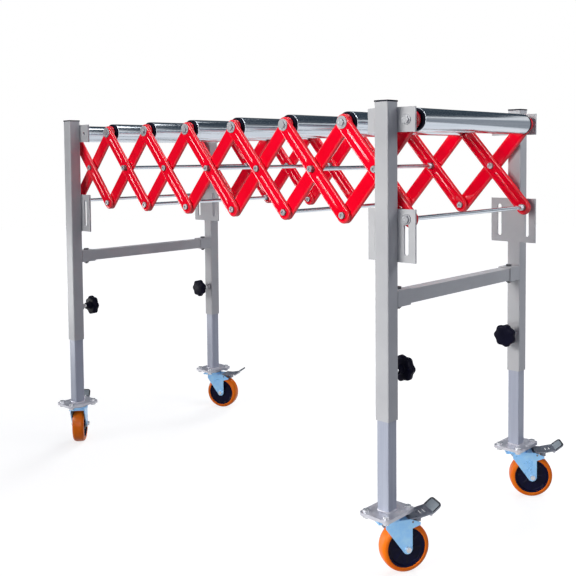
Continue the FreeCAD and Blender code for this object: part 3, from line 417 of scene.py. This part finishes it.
def armSurface(reach, beaded):
    # the channel's section carried round the arm's outline: middle(s) + radius(p) * outward(s), with the
    # face lifted along each bead by beadRise * (1 - t) / (1 - beadCrest), at most beadRise, where t is the
    # distance from the bead's middle line over half its width
    shape = armShape
    half, deep, wall, edge = shape["width"] / 2, shape["depth"], shape["sheet"], shape["edgeRound"]
    along = np.linspace(0, reach, shape["sideSteps"])
    turn = np.linspace(0, pi, shape["endSteps"])[1:-1]
    middle = np.concatenate([along, np.full(len(turn), reach), along[::-1], np.zeros(len(turn))])
    angle = np.concatenate([np.full(len(along), -pi / 2), turn - pi / 2,
                            np.full(len(along), pi / 2), turn + pi / 2])
    beadHalf, crest = shape["beadWidth"] / 2, shape["beadCrest"]
    ridge = beadHalf * np.array([0, crest, *shape["beadMarks"]])
    face = np.concatenate([ridge, shape["faceMarks"], [half - edge]])
    bend = np.linspace(0, pi / 2, shape["bendSteps"])
    curve = np.stack([half - edge + edge * np.sin(bend), edge - edge * np.cos(bend)], -1)[1:]
    rim = roundedLine([(half, edge), (half, deep), (half - wall, deep), (half - wall, wall), (0, wall)],
                      [0, shape["rimRound"], shape["rimRound"], shape["innerRound"], 0], shape["rimSteps"])
    section = np.concatenate([np.stack([face, np.zeros(len(face))], -1), curve, rim])
    x = middle[:, None] + np.cos(angle)[:, None] * section[None, :, 0]
    z = np.sin(angle)[:, None] * section[None, :, 0]
    y = np.tile(section[:, 1], (len(middle), 1))
    if beaded:
        lift = np.zeros_like(x)
        for start in (shape["beadSetback"], reach / 2 + shape["beadSetback"]):
            end = start + reach / 2 - 2 * shape["beadSetback"]
            beyond = np.maximum(np.maximum(start - x, x - end), 0)
            away = np.minimum(np.hypot(beyond, z) / beadHalf, 1)
            lift = np.maximum(lift, np.minimum((1 - away) / (1 - crest), 1))
        y = y - shape["beadRise"] * lift * (np.arange(len(section)) < len(face))
    pivots = np.array([0, reach / 2, reach])
    nearest = np.hypot(x[..., None] - pivots, z[..., None]).min(-1)
    return surface(np.stack([x, y, z], -1) * mm, 0, True, False), nearest.ravel()


def makeArms(layer, number):
    low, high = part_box(f"{layer}_arms_{number}")
    falls = layer == "falling"
    half, lift = armShape["width"] / 2 * mm, armShape["beadRise"] * mm if falls else 0
    run, drop = high.x - low.x - 2 * half, high.z - low.z - 2 * half
    reach, down = float(np.hypot(run, drop)), 1 if falls else -1
    axes = [(run / reach, 0, -down * drop / reach), (0, 1, 0), (down * drop / reach, 0, run / reach)]
    startZ = high.z - half if falls else low.z + half
    part, nearest = armSurface(reach / mm, falls)
    faces = [low.y + lift, high.y - armShape["depth"] * mm]
    parts = [placed(part, (low.x + half, y, startZ), axes) for y in faces]
    makePiece(f"{layer}Arms{number}", parts, [redEnamel], f"{layer}_{number}",
              [f"{layer}_arms_{number}"], armShape["sharpAngle"], np.concatenate([nearest, nearest]))


for number in cellNumbers:
    for layer in ("falling", "rising"):
        makeArms(layer, number)
print("scissor arms made")


# rollers

rollerShape = dict(wall=1.5, tubeHalf=225, rimRound=0.7, capRadius=24.5, capRound=2.2, mouth=8.2,
                   mouthRound=1, grooveFrom=12.5, grooveTo=17.5, grooveDeep=1.2, grooveSlope=0.6,
                   grooveRound=0.3, lip=23.4, lipRounds=(0.2, 0.1), plug=12, steps=96, roundSteps=5)


def rollerParts(radius, reach):
    # closed sections turned about the axle: the tube's wall, and a moulded cap at each end
    shape = rollerShape
    half, inner = shape["tubeHalf"], radius - shape["wall"]
    tube = roundedLine([(radius, -half), (radius, half), (inner, half), (inner, -half)],
                       [shape["rimRound"]] * 4, shape["roundSteps"])
    first, last, slope = shape["grooveFrom"], shape["grooveTo"], shape["grooveSlope"]
    floor, start = reach - shape["grooveDeep"], half - shape["plug"]
    cap = roundedLine([
        (shape["mouth"], start), (shape["mouth"], reach),
        (first, reach), (first + slope, floor), (last - slope, floor), (last, reach),
        (shape["capRadius"], reach), (shape["capRadius"], half), (shape["lip"], half), (shape["lip"], start),
    ], [0, shape["mouthRound"]] + [shape["grooveRound"]] * 4 + [shape["capRound"], *shape["lipRounds"], 0],
        shape["roundSteps"])
    return [turned(tube, shape["steps"], 0), turned(cap, shape["steps"], 1),
            turned(cap * (1, -1), shape["steps"], 1)]


for number in rollerNumbers:
    low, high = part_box(f"roller_{number}")
    middle = (low + high) / 2
    parts = rollerParts((high.z - low.z) / 2 / mm, (high.y - low.y) / 2 / mm)
    makePiece(f"roller{number}", [placed(part, middle, np.eye(3)) for part in parts],
              [rollerZinc, blackPlastic], f"roller_{number}", [f"roller_{number}"])
print("rollers made")


# castor wheels

wheelShape = dict(tyreHalf=17.5, hubRadius=43, seatLap=0.3, seatDeep=1, seatFlare=0.6, crown=1.6,
                  tread=11.4, tyreRounds=(0.3, 0.5, 8, 3), tyreSteps=8, bossRadius=12, bossDraft=1,
                  webHalf=12, rimWide=4, rimDraft=2, hubInset=1.5, hubRounds=(0.4, 1.2, 2, 2.5, 0.8, 0.5),
                  hubSteps=6, ribs=8, ribRise=1.4, ribFade=3, bushRadius=6, bushFit=0.02, boreRadius=4.15,
                  bushRound=0.3, bushRoundSteps=3, bushSteps=48, steps=112)


def wheelParts(radius):
    # closed sections turned about the axle: the tyre with a crowned tread, the hub with its dished web and
    # the steel bush; shallow ribs lift the web by ribRise * cos^8(ribs a / 2) between boss and rim
    shape = wheelShape
    hub, half, steps = shape["hubRadius"], shape["tyreHalf"], shape["steps"]
    tyre = mirroredLine([
        (hub - shape["seatLap"], half - shape["seatDeep"]), (hub + shape["seatFlare"], half),
        (radius - shape["crown"], half), (radius, half - shape["tread"]),
    ], shape["tyreRounds"], shape["tyreSteps"])
    face, web, boss = half - shape["hubInset"], shape["webHalf"], shape["bossRadius"]
    rim = hub - shape["rimWide"]
    webFrom, webTo = boss + shape["bossDraft"], rim - shape["rimDraft"]
    line = mirroredLine([
        (shape["bushRadius"], half), (boss, half), (webFrom, web), (webTo, web), (rim, face), (hub, face),
    ], shape["hubRounds"], shape["hubSteps"])
    points, faces, slots = turned(line, steps, 1)
    between = (smoothStep(webFrom, webFrom + shape["ribFade"], line[:, 0])
               * (1 - smoothStep(webTo - shape["ribFade"], webTo, line[:, 0])))
    angle = np.linspace(0, 2 * pi, steps, endpoint=False)
    rib = np.cos(shape["ribs"] * angle / 2) ** 8
    points[:, 1] += np.outer(rib, between * np.sign(line[:, 1])).ravel() * shape["ribRise"] * mm
    bore, outside = shape["boreRadius"], shape["bushRadius"] - shape["bushFit"]
    bush = roundedLine([(bore, -half), (outside, -half), (outside, half), (bore, half)],
                       [shape["bushRound"]] * 4, shape["bushRoundSteps"])
    return [turned(tyre, steps, 0), (points, faces, slots), turned(bush, shape["bushSteps"], 2)]


for corner in corners:
    axis = np.array(joints[f"{corner}_wheel_spin"]["axis"])
    middle = np.array(joints[f"{corner}_wheel_spin"]["pos_m"])
    ahead = np.cross(axis, (0, 0, 1))
    low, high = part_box(f"{corner}_wheel")
    parts = wheelParts((high.z - low.z) / 2 / mm)
    makePiece(f"{corner}Wheel", [placed(part, middle, [ahead, axis, (0, 0, 1)]) for part in parts],
              [orangeTread, hubPlastic, boltSteel], f"{corner}_wheel", [f"{corner}_wheel"])
print("castor wheels made")


# star knobs

knobShape = dict(lobes=7, lobeDeep=3.4, lobeInset=2, lobeBelow=1, lobeAbove=3, radius=29, height=35,
                 neckRadius=11, neckDraft=1.5, neckLength=14, underRun=6, underRise=1, skirtRise=4,
                 shoulder=5, dome=2.6, crownRadius=10, crownDrop=0.6, roundSteps=6, steps=168,
                 rounds=(0, 1.2, 2.5, 2.5, 2, 3, 3, 3, 0), studRadius=4.75, studSink=0.5, studSteps=28,
                 thread=0.32, pitch=1.5, pitchSteps=8)


def knobParts(studLength):
    # radius(a, p) = profile(p) - lobeDeep * edge(p) * (1 - cos(lobes a)) / 2, so the lobes fade out towards
    # the neck and the crown; the stud's thread is r + thread * cos(a - 2 pi y / pitch)
    shape = knobShape
    neck, neckRadius = shape["neckLength"], shape["neckRadius"]
    top, radius = shape["height"], shape["radius"]
    line = roundedLine([
        (0, 0), (neckRadius - shape["neckDraft"], 0), (neckRadius, neck),
        (radius - shape["underRun"], neck + shape["underRise"]), (radius, neck + shape["skirtRise"]),
        (radius, top - shape["shoulder"]), (radius - shape["shoulder"], top - shape["dome"]),
        (shape["crownRadius"], top - shape["crownDrop"]), (0, top),
    ], shape["rounds"], shape["roundSteps"])
    angle = np.linspace(0, 2 * pi, shape["steps"], endpoint=False)
    edge = (smoothStep(neckRadius, radius - shape["lobeInset"], line[:, 0])
            * smoothStep(neck - shape["lobeBelow"], neck + shape["lobeAbove"], line[:, 1]))
    lobe = (1 - np.cos(shape["lobes"] * angle)) / 2
    radii = line[None, :, 0] - shape["lobeDeep"] * edge[None] * lobe[:, None]
    head = np.stack([radii * np.cos(angle)[:, None], np.tile(line[:, 1], (len(angle), 1)),
                     radii * np.sin(angle)[:, None]], -1)
    y = np.linspace(-studLength, shape["studSink"], int(studLength / shape["pitch"] * shape["pitchSteps"]))
    around = np.linspace(0, 2 * pi, shape["studSteps"], endpoint=False)
    wave = np.cos(around[:, None] - 2 * pi * y[None] / shape["pitch"])
    screw = shape["studRadius"] + shape["thread"] * wave
    screw[:, [0, -1]] = 0
    stud = np.stack([screw * np.cos(around)[:, None], np.tile(y, (len(around), 1)),
                     screw * np.sin(around)[:, None]], -1)
    return [surface(head * mm, 0, True), surface(stud * mm, 1, True)]


for corner in corners:
    inward = -sides[corner.split("_")[1]]
    low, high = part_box(f"{corner}_knob")
    x, _, z = joints[f"{corner}_knob_turn"]["pos_m"]
    crown = high.y if inward > 0 else low.y
    length = (high.y - low.y) / mm - knobShape["height"]
    start = (x, crown - inward * knobShape["height"] * mm, z)
    axes = [(inward, 0, 0), (0, inward, 0), (0, 0, 1)]
    makePiece(f"{corner}Knob", [placed(part, start, axes) for part in knobParts(length)],
              [blackPlastic, boltSteel], f"{corner}_knob", [f"{corner}_knob"])
print("star knobs made")


# weld beads round the feet of the inner legs

weldShape = dict(legHalf=15, legLength=450, squareness=0.2, bead=2.1, ripple=0.35, rippleLength=2.6,
                 steps=360, sectionSteps=10)


def softSquare(wave):
    # a cosine or sine drawn out by a small power, so that the two together run round a square
    return weldShape["legHalf"] * np.sign(wave) * np.abs(wave) ** weldShape["squareness"]


def footWeld():
    # a round bead carried round the leg's square outline, its radius waving by ripple * cos along the path
    shape = weldShape
    t = np.linspace(0, 2 * pi, shape["steps"], endpoint=False)
    path = np.stack([softSquare(np.cos(t)), softSquare(np.sin(t))], -1)
    length = np.concatenate([[0], np.cumsum(np.linalg.norm(np.diff(path, axis=0), axis=1))])
    evenly = np.linspace(0, length[-1], shape["steps"], endpoint=False)
    path = np.stack([np.interp(evenly, length, path[:, 0]), np.interp(evenly, length, path[:, 1])], -1)
    outward = path / np.linalg.norm(path, axis=1, keepdims=True)
    size = shape["bead"] + shape["ripple"] * np.cos(2 * pi * evenly / shape["rippleLength"])
    return surface(carriedCircle(path, outward, size, shape["sectionSteps"]) * mm, 0, True, True)


def footHeight(corner):
    # the height of the foot plate's upper face, where the inner leg starts
    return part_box(f"{corner}_inner_leg")[1].z - weldShape["legLength"] * mm


for corner in corners:
    x, y, _ = joints[f"{corner}_swivel"]["pos_m"]
    makePiece(f"{corner}FootWeld", [placed(footWeld(), (x, y, footHeight(corner)), np.eye(3))], [plateZinc],
              f"{corner}_inner_leg")
print("foot welds made")


# grips on the brake pedals

gripShape = dict(reach=118, lipRun=20, lipRise=15, sheet=2.5, width=47, inset=2, rimStart=0.5, corner=8,
                 cornerSteps=6, rimRadius=1.7, ribSetback=6, ribHalf=21, ribRadius=3.4, ribSink=1.6,
                 ribSteps=9, steps=14)
lipLength = float(np.hypot(gripShape["lipRun"], gripShape["lipRise"]))


def roundBar(path, radius, slot=0):
    # a bar along a flat path, drawn to a point at both ends
    along = np.gradient(path, axis=0)
    along /= np.linalg.norm(along, axis=1, keepdims=True)
    across = np.stack([-along[:, 1], along[:, 0]], -1)
    tipped = [0, *range(len(path)), -1]
    size = np.concatenate([[0], np.full(len(path), radius), [0]])
    points = carriedCircle(path[tipped], across[tipped], size, gripShape["steps"])
    return surface(points * mm, slot, False, True)


def gripParts():
    # the moulded rim round the lip's tip and the pressed rib across the bend, in the lip's own plane; the
    # rib is a real pressed form, and its lighter zinc (slot 1) is a painted highlight along the bend
    shape = gripShape
    start, length = shape["rimStart"], lipLength - shape["inset"]
    half, steps = shape["width"] / 2 - shape["inset"], shape["cornerSteps"]
    outline = [(start, -half), (length, -half), (length, half), (start, half)]
    # the two ends of the rim have no round, so only one of their points is kept
    rim = roundedLine(outline, [0, shape["corner"], shape["corner"], 0], steps)[steps - 1:1 - steps]
    spread = np.linspace(-shape["ribHalf"], shape["ribHalf"], shape["ribSteps"])
    rib = np.stack([np.full(len(spread), -shape["ribSetback"]), spread], -1)
    points, faces, slots = roundBar(rib, shape["ribRadius"], 1)
    sunk = points - np.array([0, 0, shape["ribSink"]]) * mm
    return [roundBar(rim, shape["rimRadius"]), (sunk, faces, slots)]


for corner in corners:
    swivel = np.array(joints[f"{corner}_swivel"]["pos_m"])
    ahead = np.array(joints[f"{corner}_brake_press"]["pos_m"]) - swivel
    ahead = np.array([*ahead[:2], 0]) / np.linalg.norm(ahead[:2])
    upward = np.array([0, 0, 1])
    leanRun, leanRise = gripShape["lipRun"] / lipLength, gripShape["lipRise"] / lipLength
    outward, normal = leanRun * ahead + leanRise * upward, leanRun * upward - leanRise * ahead
    root = swivel + ahead * (gripShape["reach"] - gripShape["lipRun"] - gripShape["sheet"] / 2) * mm
    root[2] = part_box(f"{corner}_pedal")[1].z - gripShape["lipRise"] * mm
    axes = [outward, np.cross(upward, ahead), normal]
    # the rib gets plateZinc, lighter than the pedal, as a painted highlight along the bend
    makePiece(f"{corner}PedalGrip", [placed(part, root, axes) for part in gripParts()],
              [pedalRubber, plateZinc], f"{corner}_pedal")
print("pedal grips made")


# finishes of the CAD nodes

def paintNode(name, materials, choose=None):
    mesh = nodes[name].data
    mesh.materials.clear()
    for material in materials:
        mesh.materials.append(material)
    picks = np.zeros(len(mesh.polygons), np.int32)
    if choose:
        centres, facing = np.empty((2, len(mesh.polygons) * 3), np.float32)
        mesh.polygons.foreach_get("center", centres)
        mesh.polygons.foreach_get("normal", facing)
        picks = choose(centres.reshape(-1, 3), facing.reshape(-1, 3)).astype(np.int32)
    mesh.polygons.foreach_set("material_index", picks)


footPaint = dict(tubeHalf=15.2, slack=0.1, plateStack=7.1)


def footPick(corner):
    # 0 for the tube, 1 for the two foot plates, 2 for the bolts and the king pin
    x, y, _ = joints[f"{corner}_swivel"]["pos_m"]
    footTop = footHeight(corner)

    def choose(at, facing):
        apart = np.maximum(np.abs(at[:, 0] - x), np.abs(at[:, 1] - y))
        above = (at[:, 2] - footTop) / mm
        tube = (apart < footPaint["tubeHalf"] * mm) & (above > footPaint["slack"])
        plate = ~tube & (above > -footPaint["plateStack"]) & (above < footPaint["slack"])
        return np.where(tube, 0, np.where(plate, 1, 2))
    return choose


forkPaint = dict(outside=22.05, boltReach=7)


def forkPick(corner):
    # 1 for the ends of the axle bolt outside the fork
    axis = np.array(joints[f"{corner}_wheel_spin"]["axis"])
    middle = np.array(joints[f"{corner}_wheel_spin"]["pos_m"])

    def choose(at, facing):
        along = (at - middle) @ axis
        off = np.linalg.norm(at - middle - along[:, None] * axis, axis=1)
        return (np.abs(along) > forkPaint["outside"] * mm) & (off < forkPaint["boltReach"] * mm)
    return choose


pedalPaint = dict(leastSlope=0.5, mostSlope=0.95)


def pedalPick(corner):
    # 1 for the upper face of the lip at the pedal's end
    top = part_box(f"{corner}_pedal")[1].z

    def choose(at, facing):
        lip = at[:, 2] > top - gripShape["lipRise"] * mm
        return lip & (facing[:, 2] > pedalPaint["leastSlope"]) & (facing[:, 2] < pedalPaint["mostSlope"])
    return choose


boltPaint = dict(rodReach=0.22, flankLimit=0.3, plateHeight=0.7)


# the sideways faces of heads and washers, which get the painted shade
def isFlank(facing):
    return np.abs(facing[:, 1]) < boltPaint["flankLimit"]


def rodPick(at, facing):
    # 1 for the bars between the two sides of the lattice, 2 for the flanks of heads and washers, which take
    # the darker steel as painted shade
    return np.where(np.abs(at[:, 1]) < boltPaint["rodReach"], 1, 2 * isFlank(facing))


def fastenerPick(at, facing):
    # 1 for the dark bolts of the brace, 2 for the flanks of the bright ones on the upper plates, which take
    # the darker steel as painted shade
    return np.where(at[:, 2] < boltPaint["plateHeight"], 1, 2 * isFlank(facing))


for name in [f"rising_pivots_{number}" for number in cellNumbers] + ["falling_pivots_7"]:
    paintNode(name, [boltSteel, rodZinc, flankShadeSteel], rodPick)
for end in ends:
    paintNode(f"{end}_brace", [greyPowder])
    paintNode(f"{end}_tube_caps", [blackPlastic])
    paintNode(f"{end}_fasteners", [boltSteel, darkBolt, flankShadeSteel], fastenerPick)
for corner in corners:
    paintNode(f"{corner}_leg", [greyPowder])
    paintNode(f"{corner}_inner_leg", [brightZinc, plateZinc, boltSteel], footPick(corner))
    paintNode(f"{corner}_fork", [forkZinc, boltSteel], forkPick(corner))
    paintNode(f"{corner}_pedal", [pedalZinc, padGrey], pedalPick(corner))
print("CAD nodes painted")


# floor, light and camera

white = (1, 1, 1)
stageSetup = dict(floorSize=16, floorTone=0.3, nearGlow=0.8, farGlow=1.0, nearReach=0.7, farReach=2.4,
                  ambient=(0.105, 0.122, 0.18))


def seenRays(tree):
    # 1 for rays that come from the camera, a mirror surface or a clear one, and 0 for the rest
    path = tree.nodes.new("ShaderNodeLightPath").outputs
    mirrored = mathIn(tree, "MAXIMUM", path["Is Camera Ray"], path["Is Glossy Ray"])
    return mathIn(tree, "MAXIMUM", mirrored, path["Is Transmission Ray"])


def makeSheet(name, points, material):
    mesh = bpy.data.meshes.new(name)
    mesh.from_pydata(points, [], [(0, 1, 2, 3)])
    mesh.materials.append(material)
    sheet = bpy.data.objects.new(name, mesh)
    bpy.context.scene.collection.objects.link(sheet)
    return sheet


def makeFloor():
    # pale where the part stands and white further out, so that it meets the backdrop without a horizon
    material = bpy.data.materials.new("paleFloor")
    material.use_nodes = True
    tree = material.node_tree
    shader = tree.nodes["Principled BSDF"]
    feed(tree, shader.inputs["Base Color"], [stageSetup["floorTone"]] * 3)
    feed(tree, shader.inputs["Roughness"], 1)
    feed(tree, shader.inputs["Specular IOR Level"], 0)
    feed(tree, shader.inputs["Emission Color"], white)
    place = tree.nodes.new("ShaderNodeTexCoord")
    away = tree.nodes.new("ShaderNodeVectorMath")
    away.operation = "LENGTH"
    feed(tree, away.inputs[0], place.outputs["Object"])
    glow = rangeIn(tree, away.outputs["Value"], stageSetup["nearReach"], stageSetup["farReach"],
                   stageSetup["nearGlow"], stageSetup["farGlow"])
    feed(tree, shader.inputs["Emission Strength"], rangeIn(tree, seenRays(tree), 0, 1, 0, glow))
    half = stageSetup["floorSize"] / 2
    makeSheet("floor", [(-half, -half, 0), (half, -half, 0), (half, half, 0), (-half, half, 0)], material)


# cards that only mirror surfaces see: dark ones opposite the flat fronts and beyond the rollers, with a pale
# gap that draws the rollers' bright line, and bright ones for the arms' lower edges, their beads and the
# legs' corners
dark, dusk, haze = (0.05, 0.05, 0.06), (0.055, 0.075, 0.095), (0.38, 0.40, 0.43)
cards = dict(
    front=dict(left=(-2.1, -1.65), right=(-0.9, -3.0), low=0.05, high=1.2, tone=dark, strength=1),
    corner=dict(left=(-2.95, -0.15), right=(-2.1, -1.65), low=0.02, high=1.75, tone=dark, strength=1),
    beyond=dict(left=(4.5, 2.8), right=(0.3, 2.8), low=2.2, high=8.5, tone=dusk, strength=1),
    behind=dict(left=(0.3, 2.8), right=(-6.5, 2.8), low=0.02, high=8.5, tone=dusk, strength=1),
    under=dict(left=(4.5, 2.8), right=(0.3, 2.8), low=0.02, high=1.7, tone=haze, strength=1),
    rim=dict(left=(-2.47, -0.65), right=(-2.0, -1.9), low=0.02, high=0.42, tone=white, strength=14),
    strip=dict(left=(-3.4, -4.2), right=(1.2, -4.2), low=2.35, high=3.3, tone=white, strength=16),
    glint=dict(left=(1.7, -2.9), right=(2.9, -1.8), low=0.3, high=1.7, tone=white, strength=5),
)


def makeCard(name, left, right, low, high, tone, strength):
    material = bpy.data.materials.new(f"{name}Card")
    material.use_nodes = True
    tree = material.node_tree
    shader = tree.nodes["Principled BSDF"]
    feed(tree, shader.inputs["Base Color"], (0, 0, 0))
    feed(tree, shader.inputs["Specular IOR Level"], 0)
    feed(tree, shader.inputs["Emission Color"], tone)
    feed(tree, shader.inputs["Emission Strength"], strength)
    sheet = makeSheet(f"{name}Card", [(*left, low), (*right, low), (*right, high), (*left, high)], material)
    sheet.visible_camera = sheet.visible_diffuse = sheet.visible_shadow = sheet.visible_transmission = False


makeFloor()
for name, card in cards.items():
    makeCard(name, **card)

world = bpy.data.worlds.new("studio")
bpy.context.scene.world = world
world.use_nodes = True
skyTree = world.node_tree
skyTone = mixIn(skyTree, seenRays(skyTree), stageSetup["ambient"], white)
feed(skyTree, skyTree.nodes["Background"].inputs["Color"], skyTone)

# only the top lamp shows in mirror surfaces
lamps = dict(
    key=dict(place=(-0.7, -4.2, 2.1), aim=(0.65, -0.3, 1.3), size=(2.0, 1.3), power=22, spread=60,
             tone=(1.0, 0.985, 0.955)),
    top=dict(place=(0.2, 0.3, 3.0), aim=(0, 0, 0.5), size=(1.6, 1.0), power=22, spread=180, tone=white),
    back=dict(place=(1.5, 0.8, 1.5), aim=(0.6, 0.1, 0.7), size=(0.8, 0.8), power=10, spread=180,
              tone=(0.97, 0.98, 1.0)),
    rear=dict(place=(-1.6, 3.6, 2.2), aim=(0, 0, 0.8), size=(2.0, 1.3), power=16, spread=60, tone=white),
    castors=dict(place=(0.4, -2.3, 0.25), aim=(0.5, -0.2, 0.05), size=(0.8, 0.4), power=2.4, spread=60,
                 tone=white),
)
for name, lamp in lamps.items():
    data = bpy.data.lights.new(name, "AREA")
    data.shape = "RECTANGLE"
    data.size, data.size_y = lamp["size"]
    data.energy, data.spread, data.color = lamp["power"], radians(lamp["spread"]), lamp["tone"]
    light = bpy.data.objects.new(name, data)
    light.location = lamp["place"]
    light.rotation_euler = (Vector(lamp["aim"]) - Vector(lamp["place"])).to_track_quat("-Z", "Y").to_euler()
    light.visible_glossy = name == "top"
    bpy.context.scene.collection.objects.link(light)

cameraSetup = dict(place=(1.646, -1.687, 0.887), yaw=43.47, pitch=-3.0, roll=-0.51, sensor=36, lens=52.56,
                   shiftY=-0.153)
yaw, pitch, roll = (radians(cameraSetup[name]) for name in ("yaw", "pitch", "roll"))
ahead = Vector((-sin(yaw) * cos(pitch), cos(yaw) * cos(pitch), sin(pitch)))
level = ahead.cross(Vector((0, 0, 1))).normalized()
upright = level.cross(ahead)
right = cos(roll) * level + sin(roll) * upright
up = -sin(roll) * level + cos(roll) * upright
cameraData = bpy.data.cameras.new("photoCamera")
cameraData.sensor_fit, cameraData.sensor_width = "HORIZONTAL", cameraSetup["sensor"]
cameraData.lens, cameraData.shift_y = cameraSetup["lens"], cameraSetup["shiftY"]
camera = bpy.data.objects.new("photoCamera", cameraData)
turn = Matrix((right, up, -ahead)).transposed().to_4x4()
camera.matrix_world = Matrix.Translation(cameraSetup["place"]) @ turn
bpy.context.scene.collection.objects.link(camera)
bpy.context.scene.camera = camera
bpy.context.scene.view_settings.view_transform = "Standard"
print("floor, lamps and camera set")
